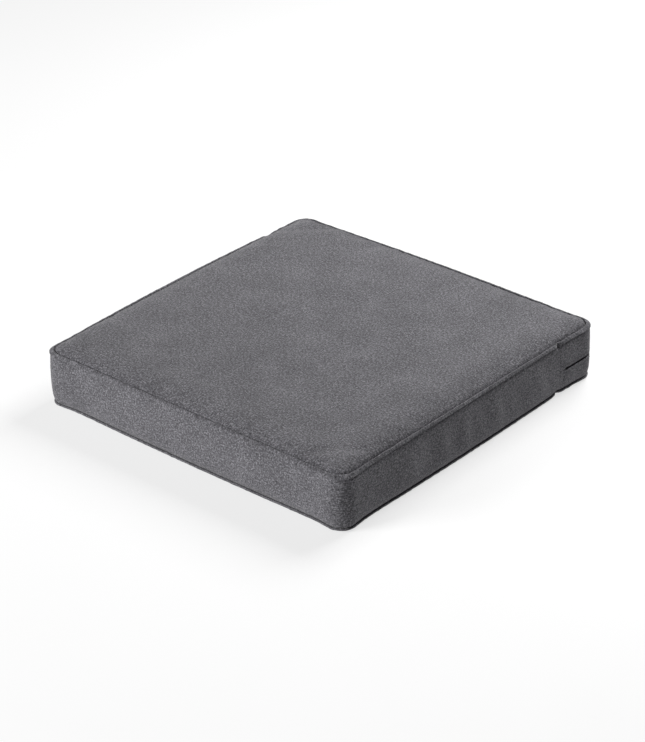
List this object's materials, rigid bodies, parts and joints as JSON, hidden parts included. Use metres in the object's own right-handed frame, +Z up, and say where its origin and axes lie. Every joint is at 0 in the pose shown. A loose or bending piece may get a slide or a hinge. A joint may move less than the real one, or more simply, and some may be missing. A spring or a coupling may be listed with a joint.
{
  "type": "boxed garden cushion",
  "caption": "Square boxed garden cushion: foam core wrapped in wadding, in a piped woven cover with a zip round the back.",
  "frame": {"origin": "on the floor plane under the middle of the cushion", "axes": "+Z up through the thickness, +Y towards the zip at the back, +X to the right seen from the front"},
  "size_m": [0.6058, 0.6058, 0.095],
  "materials": {
    "cover_fabric": "dark grey melange plain weave",
    "piping_cord": "white braided filler cord",
    "sewing_thread": "dark grey twisted polyester thread",
    "foam": "open-cell cushion foam",
    "wadding": "white polyester wadding",
    "zip_tape": "dark woven tape",
    "zip_coil": "dark moulded coil",
    "zip_metal": "dark lacquered die-cast metal"
  },
  "bodies": {
    "cushion": {"top_panel": "cover_fabric", "bottom_panel": "cover_fabric", "boxing_strip": "cover_fabric", "zip_flap_upper": "cover_fabric", "zip_flap_lower": "cover_fabric", "top_piping_cover": "cover_fabric", "bottom_piping_cover": "cover_fabric", "top_piping_cord": "piping_cord", "bottom_piping_cord": "piping_cord", "top_seam_thread": "sewing_thread", "bottom_seam_thread": "sewing_thread", "upright_seam_threads": "sewing_thread", "zip_topstitch_upper": "sewing_thread", "zip_topstitch_lower": "sewing_thread", "zip_closed_end_stop": "sewing_thread", "zip_bartacks": "sewing_thread", "foam_core": "foam", "wadding_top": "wadding", "wadding_bottom": "wadding", "zip_tape_upper": "zip_tape", "zip_tape_lower": "zip_tape", "zip_coil_upper": "zip_coil", "zip_coil_lower": "zip_coil"},
    "zip_slider": {"zip_slider": "zip_metal"},
    "zip_puller": {"zip_puller": "zip_metal"}
  },
  "joints": [
    {"name": "zip_slide", "type": "slide", "parent": "cushion", "child": "zip_slider", "axis": [1, 0, 0], "range_m": [0, 0.524], "deforming": ["zip_coil_upper", "zip_coil_lower"]},
    {"name": "puller_swing", "type": "hinge", "parent": "zip_slider", "child": "zip_puller", "pos_m": [-0.262, 0.3009, 0.044], "axis": [0, 0, 1], "range_deg": [0, 180]}
  ]
}
